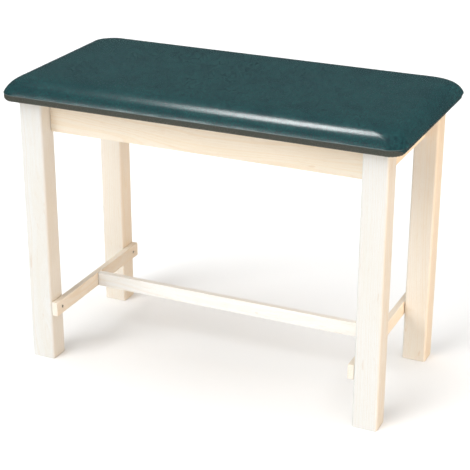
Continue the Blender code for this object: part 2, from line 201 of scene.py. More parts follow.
def make_room():
    room = bpy.data.worlds.new("soft_room")
    room.use_nodes = True
    tree = room.node_tree
    ray = add_node(tree, "LightPath")
    more = {0: ray["Is Camera Ray"], 1: ROOM_SEEN - ROOM_LIGHT, 2: ROOM_LIGHT}
    seen = add_node(tree, "Math", more, operation="MULTIPLY_ADD")["Value"]
    less = {0: ray["Is Glossy Ray"], 1: ROOM_IN_GLOSS - ROOM_LIGHT, 2: seen}
    power = add_node(tree, "Math", less, operation="MULTIPLY_ADD")["Value"]
    tree.links.new(power, tree.nodes["Background"].inputs["Strength"])
    tree.nodes["Background"].inputs["Color"].default_value = rgb(1.0, 1.0, 1.0)
    bpy.context.scene.world = room


make_room()
bpy.context.scene.view_settings.view_transform = "Standard"
print("room light", ROOM_LIGHT, "on rough surfaces,", ROOM_IN_GLOSS, "in reflections")

# %% [markdown]
# ## Lights
#
# Two distant lights do most of the work: one from the front whitens the wooden faces that look at
# the viewer, and one from above lights the pad and softens the shadow. A warm box on the right
# keeps the side faces tan. Two more boxes show in reflections only. The one overhead draws the
# long gloss line along the pad's front, and the one low in front brightens its ridge. Light
# linking keeps the front and side lights off the vinyl, so that its colour stays deep and its
# gloss lines stay clean.

# %% Lights
LIGHT_TARGET = (0.0, 0.0, 0.6)
COOL_WHITE = (0.97, 0.99, 1.0)
WARM_GLOW = (1.0, 0.64, 0.30)
PLAIN_WHITE = (1.0, 1.0, 1.0)
wood_only = bpy.data.collections.new("wood_only")  # what the side light may reach
wood_and_floor = bpy.data.collections.new("wood_and_floor")  # and the front light
for part in nodes.values():
    wood_only.objects.link(part)
    wood_and_floor.objects.link(part)
wood_and_floor.objects.link(bpy.data.objects["studio_floor"])


def add_light(name, kind, place, power, colour, target=LIGHT_TARGET):
    lamp = bpy.data.lights.new(name, kind)
    lamp.energy = power
    lamp.color = colour
    light = bpy.data.objects.new(name, lamp)
    bpy.context.scene.collection.objects.link(light)
    light.location = place
    aim_at(light, target)
    return light


def far_light(name, place, power, spread, colour=PLAIN_WHITE, only=None):
    """A distant light, even over the whole floor. It shows in no reflection, and spread is the
    angle it covers in the sky, in degrees: the wider, the softer its shadows."""
    light = add_light(name, "SUN", place, power, colour)
    light.data.angle = math.radians(spread)
    light.visible_glossy = False
    light.light_linking.receiver_collection = only


def softbox(name, place, size, power, target=LIGHT_TARGET, colour=PLAIN_WHITE):
    box = add_light(name, "AREA", place, power, colour, target)
    box.data.shape = "RECTANGLE"
    box.data.size, box.data.size_y = size
    return box


# %% Light places
far_light("front_light", (-2.0, -4.2, 3.6), 1.82, 40, COOL_WHITE, only=wood_and_floor)
far_light("top_light", (0.3, -0.5, 6.0), 1.95, 70)
gloss_box = softbox("gloss_box", (-0.60, -0.15, 3.40), (0.84, 1.05), 60.0, (-0.60, -0.15, 0.9))
gloss_box.visible_diffuse = False
ridge_box = softbox("ridge_box", (-1.3, -3.4, 1.95), (1.8, 0.9), 62.0, (0.1, -0.3, 0.86))
ridge_box.visible_diffuse = False
side_box = softbox("side_box", (4.6, -0.5, 1.0), (2.4, 2.0), 112.0, colour=WARM_GLOW)
side_box.visible_glossy = False
side_box.light_linking.receiver_collection = wood_only

# %% [markdown]
# ## Maple
#
# Hard maple is a pale, close-grained wood. Its figure comes from the growth rings of the trunk it
# was sawn from, so the finish is built the same way: each board gets a point beside it as the
# heart of its tree, and the distance from there drives the rings. Slow noise along the grain
# bends them, so that flat faces show long arches and end grain shows curves. Fine pores, short
# ray flecks and a slow drift of tone lie over them. Every board has its own tree, so no two look
# alike. The boards also differ in tone, and these tones paint light and shade over the maple's
# own colour: the front legs very pale as a painted highlight, the aprons more tan as painted
# shade under the pad, the rear legs and end rails more orange as painted shade, and the stretcher
# paler still as painted light.

# %% Maple finish
GRAIN_TURNS = {  # the turn that lays each axis along X
    "X": (0.0, 0.0, 0.0), "Y": (0.0, 0.0, -math.pi / 2), "Z": (0.0, math.pi / 2, 0.0),
}
# each tone is the maple's own colour, shifted to paint the light or shade on the boards that use
# it
MAPLE_TONES = {  # pale early wood, ring line, dark streak
    "white": (rgb(0.75, 0.745, 0.72), rgb(0.72, 0.68, 0.60), rgb(0.64, 0.52, 0.40)),
    "cream": (rgb(0.89, 0.80, 0.665), rgb(0.85, 0.71, 0.52), rgb(0.70, 0.50, 0.31)),
    "warm": (rgb(0.83, 0.775, 0.69), rgb(0.80, 0.70, 0.56), rgb(0.70, 0.53, 0.37)),
    "bright": (rgb(0.91, 0.90, 0.87), rgb(0.87, 0.82, 0.74), rgb(0.74, 0.62, 0.48)),
}
RINGS_PER_METRE = 330.0
HEART_AWAY = (0.07, 0.16)  # metres from a board to the heart of its tree
HEART_ALONG = 4.0  # metres either way along the trunk
RING_SWAY = 0.045  # metres the rings wander
ONLY_ACROSS = (0.0, 1.0, 1.0)
board_luck = random.Random(11)


def trunk_place(tree, grain, box):
    """A point's place in the board's own tree, whose heart runs along X."""
    turn = Euler(GRAIN_TURNS[grain])
    angle = board_luck.uniform(0.0, math.tau)
    away = board_luck.uniform(*HEART_AWAY)
    along = board_luck.uniform(-HEART_ALONG, HEART_ALONG)
    heart = Vector((along, away * math.cos(angle), away * math.sin(angle)))
    middle = (box[0] + box[1]) / 2
    sockets = {"Vector": add_node(tree, "TexCoord")["Object"], "Rotation": turn,
               "Location": heart - turn.to_matrix() @ middle}
    return add_node(tree, "Mapping", sockets)["Vector"]


def sway_along(tree, place, stretch, reach, detail=2.0):
    """Moves a place across the grain by a slow noise, which bends the figure."""
    sway = noise_at(tree, place, stretch, detail=detail)["Color"]
    return add_node(tree, "VectorMath", {0: sway, 1: (0.0, reach, reach), 2: place},
                    operation="MULTIPLY_ADD")["Vector"]


# %% [markdown]
# The rings are one-dimensional noise over the distance from the heart. Each other mark is a noise
# stretched along the grain, turned into a share of a darker colour by a ramp.

# %% Maple marks
def growth_rings(tree, bent):
    across = add_node(tree, "VectorMath", {0: bent, 1: ONLY_ACROSS},
                      operation="MULTIPLY")["Vector"]
    radius = add_node(tree, "VectorMath", {0: across}, operation="LENGTH")["Value"]
    sockets = {"W": radius, "Scale": RINGS_PER_METRE, "Detail": 2.0, "Roughness": 0.6}
    return add_node(tree, "TexNoise", sockets, noise_dimensions="1D")["Fac"]


def maple_finish(name, grain, tone, box):
    """A board's own maple: grain is the axis it runs along, and box the board's two corners."""
    pale, ring, streak = MAPLE_TONES[tone]
    finish, tree, shader = new_finish("maple_" + name, roughness=0.42)
    along = trunk_place(tree, grain, box)
    bent = sway_along(tree, along, (1.4, 7.0, 7.0), RING_SWAY)
    rings = growth_rings(tree, bent)
    pores = noise_at(tree, bent, (28.0, 950.0, 950.0))["Fac"]
    flecks = noise_at(tree, along, (130.0, 1500.0, 1500.0), detail=1.0)["Fac"]
    drift = noise_at(tree, bent, (2.5, 16.0, 16.0))["Fac"]
    marks = noise_at(tree, bent, (16.0, 60.0, 60.0))["Fac"]
    colour = blend_colour(tree, ramp(tree, rings, 0.42, 0.72, 0.0, 0.65), pale, ring)
    colour = blend_colour(tree, ramp(tree, drift, 0.45, 0.75, 0.0, 0.45), colour, ring)
    colour = blend_colour(tree, ramp(tree, pores, 0.52, 0.75, 0.0, 0.30), colour, streak)
    colour = blend_colour(tree, ramp(tree, flecks, 0.66, 0.74, 0.0, 0.35), colour, streak)
    colour = blend_colour(tree, ramp(tree, marks, 0.68, 0.78, 0.0, 0.45), colour, streak)
    tree.links.new(colour, shader.inputs["Base Color"])
    tree.links.new(ramp(tree, pores, 0.3, 0.7, 0.36, 0.50), shader.inputs["Roughness"])
    add_relief(tree, shader, pores, 0.12, 0.0004)
    shader.inputs["Coat Weight"].default_value = 0.25
    shader.inputs["Coat Roughness"].default_value = 0.28
    return finish


print(len(MAPLE_TONES), "tones of maple")

# %% [markdown]
# ## Boards
#
# The boards keep their shape. Smooth shading with sharp edges marked by angle makes the rounded
# leg edges read as rounds, and a Weighted Normal modifier keeps the wide faces flat between them.

# %% Boards of the frame
SMOOTH_ANGLE = math.radians(35)
BOARD_KINDS = {  # the start of a part's name, the axis its grain runs along, its tone, which paints light or shade
    "leg_front": ("Z", "white"), "leg_rear": ("Z", "warm"),
    "stretcher": ("X", "bright"), "end_rail": ("Y", "warm"),
    "apron_front": ("X", "cream"), "apron_rear": ("X", "cream"),
    "apron_left": ("Y", "cream"), "apron_right": ("Y", "cream"),
    "cleat": ("X", "cream"), "corner_block": ("Z", "cream"),
}


def dress(obj, finish):
    """Gives a part its finish, and shading that follows its edges."""
    obj.data.materials.clear()
    obj.data.materials.append(finish)
    obj.data.shade_smooth()
    obj.data.set_sharp_from_angle(angle=SMOOTH_ANGLE)
    steady = obj.modifiers.new("even_faces", "WEIGHTED_NORMAL")
    steady.keep_sharp = True


boards = {name: kind for name in nodes if "screw" not in name
          for start, kind in BOARD_KINDS.items() if name.startswith(start)}
for name, (grain, tone) in sorted(boards.items()):
    dress(nodes[name], maple_finish(name, grain, tone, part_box(name)))
print(len(boards), "maple boards")

# %% [markdown]
# ## Zinc-plated steel
#
# Screws, bolts, nuts and staples are bright zinc. A cloudy drift in the roughness and a faint
# grain in the plating keep it from looking like chrome.

# %% Zinc finish
ZINC_BRIGHT = rgb(0.66, 0.66, 0.64)
ZINC_DULL = rgb(0.46, 0.46, 0.45)


def zinc_finish():
    finish, tree, shader = new_finish("zinc_steel", roughness=0.32, metallic=1.0)
    place = add_node(tree, "TexCoord")["Object"]
    cloud = noise_at(tree, place, (260.0, 260.0, 260.0), detail=3.0)["Fac"]
    plating = noise_at(tree, place, (2600.0, 2600.0, 2600.0))["Fac"]
    colour = blend_colour(tree, cloud, ZINC_DULL, ZINC_BRIGHT)
    tree.links.new(colour, shader.inputs["Base Color"])
    tree.links.new(ramp(tree, cloud, 0.3, 0.7, 0.26, 0.44), shader.inputs["Roughness"])
    add_relief(tree, shader, plating, 0.15, 0.0001)
    return finish


ZINC = zinc_finish()
FASTENERS = ("hanger_bolt", "flange_nut", "block_screw", "deck_screw", "rail_screw",
             "stretcher_screw")
fasteners = [name for name in nodes if name.startswith(FASTENERS)]
for name in fasteners:
    dress(nodes[name], ZINC)
print(len(fasteners), "fasteners")

# %% [markdown]
# ## Vinyl
#
# Upholstery vinyl is a coloured skin on a knitted back, embossed with a fine leather grain. The
# colour is mottled a little, with tiny pale specks where the emboss catches dust and light. The
# grain itself is small rounded cells, made with smooth Voronoi bump. Noise a few millimetres
# across gives the mottle, and a second Voronoi scatters the specks: each of its cells has a
# random colour, which picks the few that get one.

# %% Vinyl finish
VINYL_TEAL = rgb(0.031, 0.125, 0.126)
VINYL_DEEP = rgb(0.009, 0.042, 0.053)
VINYL_SPECK = rgb(0.36, 0.50, 0.48)


def vinyl_specks(tree, place):
    dust = add_node(tree, "TexVoronoi", {"Vector": place, "Scale": 42.0}, feature="F1")
    chosen = ramp(tree, add_node(tree, "SeparateXYZ", {0: dust["Color"]})["X"], 0.78, 0.82)
    return multiply(tree, chosen, ramp(tree, dust["Distance"], 0.035, 0.065, 0.8, 0.0))


def vinyl_colour(tree, place, mottle):
    cloud = noise_at(tree, place, (14.0, 14.0, 14.0))["Fac"]
    colour = blend_colour(tree, ramp(tree, mottle, 0.40, 0.60), VINYL_DEEP, VINYL_TEAL)
    colour = blend_colour(tree, ramp(tree, cloud, 0.4, 0.7, 0.0, 0.35), colour, VINYL_DEEP)
    return blend_colour(tree, vinyl_specks(tree, place), colour, VINYL_SPECK)


print("vinyl is mottled between", VINYL_DEEP[:3], "and", VINYL_TEAL[:3])

# %% [markdown]
# Below the ridge the colour turns browner. This is a painted reflection of the wood and the
# floor, and painted shade on the band and the wrap below it. The browner part is everything below
# a height, which is the ridge's along the front and sinks towards the ends. Along the front, the
# ridge over the deck's edge gets a thin pale line, a painted highlight of the light it catches.

# %% Painted reflection and highlight
VINYL_PAINTED_REFLECTION = rgb(0.120, 0.105, 0.080)
VINYL_PAINTED_HIGHLIGHT = rgb(0.23, 0.27, 0.26)
PAINTED_REFLECTION_HEIGHTS = (0.8420, 0.8465)  # metres: all browner below the first, none above the second
PAINTED_REFLECTION_HIGHER = 0.0155  # how much higher it reaches along the front
FRONT_BAND = (-0.304, -0.255)  # where the front's browner part sinks to the ends' level
PAINTED_HIGHLIGHT_LINE = 0.0022  # metres: half the height of the painted highlight line
PAINTED_REFLECTION_SHARE, PAINTED_HIGHLIGHT_SHARE = 0.75, 0.5  # how much of each colour shows at most
deck_low, deck_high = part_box("deck_panel")
RIDGE_Z = deck_high.z - 0.0006  # the cover's widest line, over the deck's upper edge


# the browner part is painted reflection and shade, and the pale line is a painted highlight
def add_painted_reflection_and_highlight(tree, place, colour):
    axes = add_node(tree, "SeparateXYZ", {0: place})
    front = ramp(tree, axes["Y"], *FRONT_BAND, 1.0, 0.0)
    level = add_node(tree, "Math", {0: front, 1: -PAINTED_REFLECTION_HIGHER, 2: axes["Z"]},
                     operation="MULTIPLY_ADD")["Value"]
    painted_reflection = ramp(tree, level, *PAINTED_REFLECTION_HEIGHTS, PAINTED_REFLECTION_SHARE, 0.0)
    colour = blend_colour(tree, painted_reflection, colour, VINYL_PAINTED_REFLECTION)
    above = add_node(tree, "Math", {0: axes["Z"], 1: RIDGE_Z}, operation="SUBTRACT")["Value"]
    off_line = add_node(tree, "Math", {0: above}, operation="ABSOLUTE")["Value"]
    painted_highlight = multiply(tree, ramp(tree, off_line, 0.0, PAINTED_HIGHLIGHT_LINE, PAINTED_HIGHLIGHT_SHARE, 0.0), front)
    return blend_colour(tree, painted_highlight, colour, VINYL_PAINTED_HIGHLIGHT)


def vinyl_finish():
    finish, tree, shader = new_finish("teal_vinyl", roughness=0.36)
    place = add_node(tree, "TexCoord")["Object"]
    mottle = noise_at(tree, place, (250.0, 130.0, 250.0), detail=3.0, roughness=0.75)["Fac"]
    colour = add_painted_reflection_and_highlight(tree, place, vinyl_colour(tree, place, mottle))
    tree.links.new(colour, shader.inputs["Base Color"])
    tree.links.new(ramp(tree, mottle, 0.3, 0.7, 0.30, 0.21), shader.inputs["Roughness"])
    cells = add_node(tree, "TexVoronoi", {"Vector": place, "Scale": 1100.0, "Smoothness": 0.6},
                     feature="SMOOTH_F1")["Distance"]
    add_relief(tree, shader, cells, 0.16, 0.0004)
    return finish


VINYL = vinyl_finish()
print("the ridge is", round(1000 * RIDGE_Z, 1), "mm above the floor")

# %% [markdown]
# ## Upholstered cover
#
# One sheet of vinyl is pulled over the foam, turns over the deck's upper edge, runs down the band
# and turns under it, where staples hold it. The sheet is lofted: a plan outline, the deck's
# rounded rectangle, is stepped along a profile that climbs from the hem underneath to the top.
# Sculpting it would give a softer look, but a loft keeps the sheet's exact size and even squares,
# which the cloth simulation needs. Each profile point is a distance out from the band round the
# deck and a height, so the same outline serves every row up to the ridge.

# %% Outline of the deck
SHEET = 0.0012  # thickness of the vinyl
CLEAR = 0.0003  # air left between two pieces
STRAIGHT_STEPS = (141, 65)  # along the front and rear, and along the ends
HALF_ARC_STEPS = 18  # from the middle of a corner to its end
DECK_CORNER = 0.0465
BAND_X = deck_high.x + CLEAR + SHEET
BAND_Y = deck_high.y + CLEAR + SHEET
BAND_CORNER = DECK_CORNER + CLEAR + SHEET


def plan_outline(half_x, half_y, radius):
    """The four sides of a rounded rectangle, counterclockwise from the front, each a list of
    (point, the way it faces) from the middle of one corner up to the middle of the next."""
    sides = []
    for quarter in range(4):
        facing = math.radians(270 + 90 * quarter)
        outward = Vector((math.cos(facing), math.sin(facing)))
        onward = Vector((-outward.y, outward.x))
        half_run = abs(onward.x) * (half_x - radius) + abs(onward.y) * (half_y - radius)
        half_out = abs(outward.x) * half_x + abs(outward.y) * half_y
        start = outward * (half_out - radius) - onward * half_run
        end = start + onward * 2 * half_run
        side = []
        for step in range(HALF_ARC_STEPS):
            turn = facing - math.pi / 4 * (1 - step / HALF_ARC_STEPS)
            facing_here = Vector((math.cos(turn), math.sin(turn)))
            side.append((start + facing_here * radius, facing_here))
        steps = STRAIGHT_STEPS[quarter % 2]
        for step in range(steps):
            along = onward * (2 * half_run * step / steps)
            side.append((start + along + outward * radius, outward))
        for step in range(HALF_ARC_STEPS):
            turn = facing + math.pi / 4 * step / HALF_ARC_STEPS
            facing_here = Vector((math.cos(turn), math.sin(turn)))
            side.append((end + facing_here * radius, facing_here))
        sides.append(side)
    return sides


outline = plan_outline(BAND_X, BAND_Y, BAND_CORNER)
loop = [place for side in outline for place in side]
print(len(loop), "points round the outline")

# %% [markdown]
# ## The cover's profile
#
# The profile is the section an upholsterer would draw. The vinyl wraps the deck's eased lower
# edge, runs up the band, and turns over the deck's upper edge in a ridge, which is the widest
# line of the pad. Above the ridge the foam slopes inwards, steeply at first and then less and
# less, until it is level. That slope is added up in small steps from a rule for its angle. It is
# the same shape on the sides and the ends, only longer on the sides.

# %% Profile of the cover
cover_low, cover_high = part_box("vinyl_cover")
HEM_REACH = 0.026  # how far the vinyl turns in under the deck
HEM_STEPS = 5
WRAP_RADIUS = 0.0085  # round the deck's lower edge
WRAP_STEPS = 7
BAND_STEPS = 3
BAND_BELOW_RIDGE = 0.0035
RIDGE_RADIUS = 0.0034
RIDGE_ARC = (-12, 30)  # degrees from straight out
RIDGE_STEPS = 6
RIDGE_OUT = 0.0012  # the ridge stands out this far over the band
END_SWELL = 0.0016  # the ridge stands out more over the short ends
PAD_SHIFT = 0.0020  # hand-stretched vinyl pulls the pad a little to the right
COVER_BOTTOM = cover_low.z
PAD_EDGE_TOP = cover_high.z - 0.0020  # where the slope meets the level top
print("the band is", round(1000 * (RIDGE_Z - COVER_BOTTOM), 1), "mm high")

# %% Slope of the pad
SIDE_REACH = 0.072  # how far in the slope ends, from the long sides
END_REACH = 0.066  # and from the ends
TOP_CORNER = 0.115  # the plan's corner radius where the slope ends
SLOPE_START = 58.0  # degrees from level
SLOPE_FALL = 2.0  # how fast the angle dies away
SLOPE_FINE = 600  # small steps that the rise is added up in
SLOPE_STEPS = 18  # rows that are made of it
SLOPE_CROWDING = 1.5  # over 1 crowds the rows towards the ridge


def arc(centre, radius, first, last, steps):
    """Points on an arc in the profile's plane, angles in degrees from straight out towards up."""
    points = []
    for step in range(steps + 1):
        angle = math.radians(first + (last - first) * step / steps)
        points.append((centre[0] + radius * math.cos(angle),
                       centre[1] + radius * math.sin(angle)))
    return points


def slope_curve():
    """(share of the reach, share of the rise) for each row from the ridge to the level top."""
    heights = [0.0]
    for step in range(SLOPE_FINE):
        angle = SLOPE_START * (1 - (step + 0.5) / SLOPE_FINE) ** SLOPE_FALL
        heights.append(heights[-1] + math.tan(math.radians(angle)))
    shares = [(step / SLOPE_STEPS) ** SLOPE_CROWDING for step in range(1, SLOPE_STEPS + 1)]
    return [(share, heights[round(share * SLOPE_FINE)] / heights[-1]) for share in shares]


def cover_profile():
    """The rows up to the ridge, each (distance out from the band, height)."""
    hem = [(-HEM_REACH + (HEM_REACH - WRAP_RADIUS) * step / HEM_STEPS, COVER_BOTTOM)
           for step in range(HEM_STEPS)]
    wrap_top = COVER_BOTTOM + WRAP_RADIUS
    wrap = arc((-WRAP_RADIUS, wrap_top), WRAP_RADIUS, -90, 0, WRAP_STEPS)
    band_height = RIDGE_Z - BAND_BELOW_RIDGE - wrap_top
    band = [(0.0, wrap_top + band_height * step / BAND_STEPS)
            for step in range(1, BAND_STEPS + 1)]
    ridge = arc((RIDGE_OUT - RIDGE_RADIUS, RIDGE_Z), RIDGE_RADIUS, *RIDGE_ARC, RIDGE_STEPS)
    return hem + wrap + band, ridge


band_rows, ridge_rows = cover_profile()
lower_rows = band_rows + ridge_rows
print(len(lower_rows), "rows up to the ridge, and", SLOPE_STEPS, "above it")

# %% [markdown]
# ## Corners, hem and rows
#
# The corners carry the spare vinyl. It is gathered under the deck in pleats, which start below
# the ridge and deepen towards the hem. The hem's own edge was cut by hand, so it wanders a
# little. Both are small moves of the rows along their own directions, worked out from the
# corner's angle.

# %% Pleats
PLEATS = 7  # to a corner
PLEAT_DEPTH = 0.0009
PLEAT_SPREAD = 0.8  # part of a pleat's depth that also shows outwards
PLEAT_ROUNDING = 0.7  # under 1 rounds the folds and sharpens the valleys
PLEAT_FADE = 2.5  # how quickly the pleats grow from a corner's ends
HEM_WANDER = 0.0016
HEM_EDGE = 0.9  # only the part of the hem past this share of its reach wanders
HEM_WAVES = 18.0  # waves of the hem's edge to a metre
STRAIN = 0.00025  # how far a pull in the vinyl moves it
STRAIN_WAVES = (34.0, 60.0)  # to a metre, around and up
RIDGE_FOOT = RIDGE_Z - 0.0120  # where the swell of the ridge starts


def corner_share(facing):
    """0 on a straight side, and 0 to 1 to 0 along a corner."""
    return abs(math.sin(2 * math.atan2(facing.y, facing.x)))


def pleat(facing):
    angle = math.atan2(facing.y, facing.x) % (math.pi / 2)
    wave = math.sin(PLEATS * 2 * angle)
    return abs(wave) ** PLEAT_ROUNDING * min(1.0, PLEAT_FADE * corner_share(facing))


def lower_point(base, facing, out, height):
    """One point of the hem, the band or the ridge."""
    depth = min(1.0, max(0.0, (RIDGE_Z - height) / (RIDGE_Z - COVER_BOTTOM)))
    fold = PLEAT_DEPTH * pleat(facing) * depth
    seat = Vector((base.x, base.y, height)) * HEM_WAVES
    wander = HEM_WANDER * noise.noise(seat) if out < -HEM_EDGE * HEM_REACH else 0.0
    around, up = STRAIN_WAVES
    strain = STRAIN * noise.noise(Vector((base.x * around, base.y * around, height * up)))
    spread = fold * PLEAT_SPREAD if out > -WRAP_RADIUS else 0.0
    climb = min(1.0, max(0.0, (height - RIDGE_FOOT) / (RIDGE_Z - RIDGE_FOOT)))
    spread += climb * (END_SWELL * facing.x ** 2 + PAD_SHIFT * facing.x)
    place = base + facing * (out + wander + strain + spread)
    drop = fold if out <= -WRAP_RADIUS / 2 else 0.0
    return (place.x, place.y, height - drop)


print(PLEATS, "pleats to a corner")

# %% Rows of the cover
def slope_row(across, rise):
    """One row above the ridge: a rounded rectangle, smaller and rounder in plan than the last."""
    start = ridge_rows[-1]
    inset = Vector((END_REACH, SIDE_REACH)) * across
    radius = BAND_CORNER + (TOP_CORNER - BAND_CORNER) * across ** 2
    half_x = BAND_X + start[0] + END_SWELL - inset.x
    ring = plan_outline(half_x, BAND_Y + start[0] - inset.y, radius)
    height = start[1] + (PAD_EDGE_TOP - start[1]) * rise
    return [(place.x + PAD_SHIFT, place.y, height) for side in ring for place, facing in side]


def cover_rows():
    below = [[lower_point(base, facing, out, height) for base, facing in loop]
             for out, height in lower_rows]
    return below + [slope_row(across, rise) for across, rise in slope_curve()]


print("the level top is", round(2 * (BAND_X - END_REACH), 3), "m long")

# %% [markdown]
# ## Top of the cover
#
# The top is filled with a grid whose four sides are the sides of the last row. Blending the sides
# across, as a Coons patch does, gives even squares that follow the outline near the edge. The
# grid starts with a slight crown, and the simulation lifts it further.

# %% Top of the cover
CROWN = 0.0015
CROWN_ACROSS, CROWN_ALONG = 2.5, 4  # the higher, the flatter its middle


def patch(sides, height_at):
    """Points inside four boundary lists, which run round and each stop one short of the next."""
    front, right, rear, left = sides
    front = front + [right[0]]
    right = right + [rear[0]]
    rear = (rear + [left[0]])[::-1]
    left = (left + [front[0]])[::-1]
    wide, deep = len(front) - 1, len(right) - 1
    grid = []
    for j in range(1, deep):
        v = j / deep
        row = []
        for i in range(1, wide):
            u = i / wide
            place = front[i] * (1 - v) + rear[i] * v + left[j] * (1 - u) + right[j] * u
            place -= (front[0] * (1 - u) + front[-1] * u) * (1 - v)
            place -= (rear[0] * (1 - u) + rear[-1] * u) * v
            row.append((place.x, place.y, height_at(place)))
        grid.append(row)
    return grid


def crown_height(place):
    across = 1 - min(1.0, abs(place.y) / (BAND_Y - SIDE_REACH)) ** CROWN_ACROSS
    along = 1 - min(1.0, abs(place.x) / (BAND_X - END_REACH)) ** CROWN_ALONG
    return PAD_EDGE_TOP + CROWN * across * along


print("crown", 1000 * CROWN, "mm before the simulation")

# %% [markdown]
# ## Making the meshes
#
# The rings and the patch become a mesh in bmesh, where points and faces are added by hand. A
# ring's four sides bound the patch's grid, so both use the same points and the mesh has no seam.

# %% Mesh helpers
def close_ring(shape, ring, height_at, flip=False):
    """Fills a ring of points with a patch, facing up, or down where flip is set."""
    starts = [0]
    for side in outline:
        starts.append(starts[-1] + len(side))
    sides = [[ring[i].co.xy.copy() for i in range(starts[k], starts[k + 1])] for k in range(4)]
    inner = [[shape.verts.new(place) for place in row] for row in patch(sides, height_at)]
    wide, deep = len(outline[0]), len(outline[1])
    grid = [[None] * (wide + 1) for _ in range(deep + 1)]
    for i in range(wide + 1):
        grid[0][i] = ring[i]
        grid[deep][i] = ring[starts[3] - i]
    for j in range(deep + 1):
        grid[j][wide] = ring[starts[1] + j]
        grid[j][0] = ring[(starts[4] - j) % starts[4]]
    for j, row in enumerate(inner, start=1):
        for i, vert in enumerate(row, start=1):
            grid[j][i] = vert
    for j in range(deep):
        for i in range(wide):
            corners = (grid[j][i], grid[j][i + 1], grid[j + 1][i + 1], grid[j + 1][i])
            shape.faces.new(corners[::-1] if flip else corners)


def loft(shape, rows):
    """Rings of points, one for each row, joined by quads."""
    rings = [[shape.verts.new(place) for place in row] for row in rows]
    for lower, upper in zip(rings, rings[1:]):
        for i, vert in enumerate(lower):
            j = (i + 1) % len(lower)
            shape.faces.new((vert, lower[j], upper[j], upper[i]))
    return rings


def smooth_mesh(name, shape):
    mesh = bpy.data.meshes.new(name)
    shape.to_mesh(mesh)
    shape.free()
    mesh.shade_smooth()
    return mesh


def new_piece(name, mesh, finish):
    piece = bpy.data.objects.new(name, mesh)
    bpy.context.scene.collection.objects.link(piece)
    mesh.materials.append(finish)
    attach(piece, "root")
    return piece


# %% Cover
def make_cover():
    shape = bmesh.new()
    rings = loft(shape, cover_rows())
    close_ring(shape, rings[-1], crown_height)
    mesh = smooth_mesh("upholstered_cover", shape)
    return new_piece("upholstered_cover", mesh, VINYL)


cover = make_cover()
print(len(cover.data.vertices), "points in the cover")

# %% [markdown]
# ## Pulling the cover tight
#
# A padded top is never flat: the foam pushes up, the staples hold the edge down, and the vinyl
# finds its own crown between them. Cloth simulation does this well. The sheet is held at and
# below the ridge, inflated with a little pressure and no gravity, and stopped after twenty steps.
# Each move is then taken along the sheet's own normal and eased towards a limit: a few
# millimetres outwards, but less than one inwards, because firm foam fills the cover.

# %% Cloth simulation
HELD_ROWS = len(lower_rows)
EASED_ROWS = 7  # rows over which the hold lets go
RISE_LIMIT = 0.0040
SINK_LIMIT = 0.0007
SIM_FRAMES = 20
VINYL_CLOTH = {
    "quality": 4, "mass": 0.05, "tension_stiffness": 25.0, "compression_stiffness": 25.0,
    "shear_stiffness": 10.0, "bending_stiffness": 2.0, "vertex_group_mass": "held",
    "use_pressure": True, "uniform_pressure_force": 0.2,
}


def hold_edge(piece):
    held = piece.vertex_groups.new(name="held")
    count = len(loop)
    held.add(range(HELD_ROWS * count), 1.0, "REPLACE")
    for step in range(EASED_ROWS):
        first = (HELD_ROWS + step) * count
        held.add(range(first, first + count), 1.0 - (step + 1) / (EASED_ROWS + 1), "REPLACE")


def run_cloth(piece):
    """Where each point ends up after the simulation, which leaves no modifier behind."""
    cloth = piece.modifiers.new("pull", "CLOTH")
    for setting, value in VINYL_CLOTH.items():
        setattr(cloth.settings, setting, value)
    cloth.settings.effector_weights.gravity = 0.0
    cloth.collision_settings.use_collision = False
    for number in range(1, SIM_FRAMES + 1):
        bpy.context.scene.frame_set(number)
    pulled = piece.evaluated_get(bpy.context.evaluated_depsgraph_get())
    moved = [vert.co.copy() for vert in pulled.to_mesh().vertices]
    pulled.to_mesh_clear()
    piece.modifiers.remove(cloth)
    bpy.context.scene.frame_set(1)
    return moved


def inflate(piece):
    """Moves each point along its normal as the cloth did, eased towards the limits."""
    moved = run_cloth(piece)
    normals = [normal.vector.copy() for normal in piece.data.vertex_normals]
    rises = [(after - vert.co).dot(normal)
             for vert, after, normal in zip(piece.data.vertices, moved, normals)]
    for vert, rise, normal in zip(piece.data.vertices, rises, normals):
        limit = RISE_LIMIT if rise > 0 else SINK_LIMIT
        vert.co += normal * limit * math.tanh(rise / limit)
    return max(rises)


hold_edge(cover)
print("the cloth rose up to", round(1000 * inflate(cover), 2), "mm before easing")


# %% [markdown]
# ## Thickness
#
# So far the cover is a surface. Solidify gives it the vinyl's thickness, inwards, so the outside
# stays where the simulation left it.

# %% Thickness
skin = cover.modifiers.new("skin", "SOLIDIFY")
skin.thickness = SHEET
skin.offset = -1.0
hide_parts("vinyl_cover")
print("the vinyl is", 1000 * SHEET, "mm thick")

# %% [markdown]
# ## Foam
#
# The cover is stretched over a slab of firm foam, which rests flat on the deck. Its upper face is
# the pulled cover's own, moved in along its normals by the sheet's thickness, so the two fit
# wherever the cloth went. Open foam is a mass of burst bubbles, so its finish is fine Voronoi
# cells, deep in bump.

# %% Foam finish
INSIDE = SHEET + CLEAR  # from the vinyl's outside to whatever it covers
FOAM_FOOT = deck_high.z + CLEAR
FOAM_SET_IN = 0.010  # of the foam's foot, from the band
FOAM_LEAST_RISE = 0.001  # rows lower than this over the foot are left out
FOAM_CREAM = rgb(0.80, 0.72, 0.50)
FOAM_PAINTED_PIT_SHADE = rgb(0.62, 0.52, 0.32)


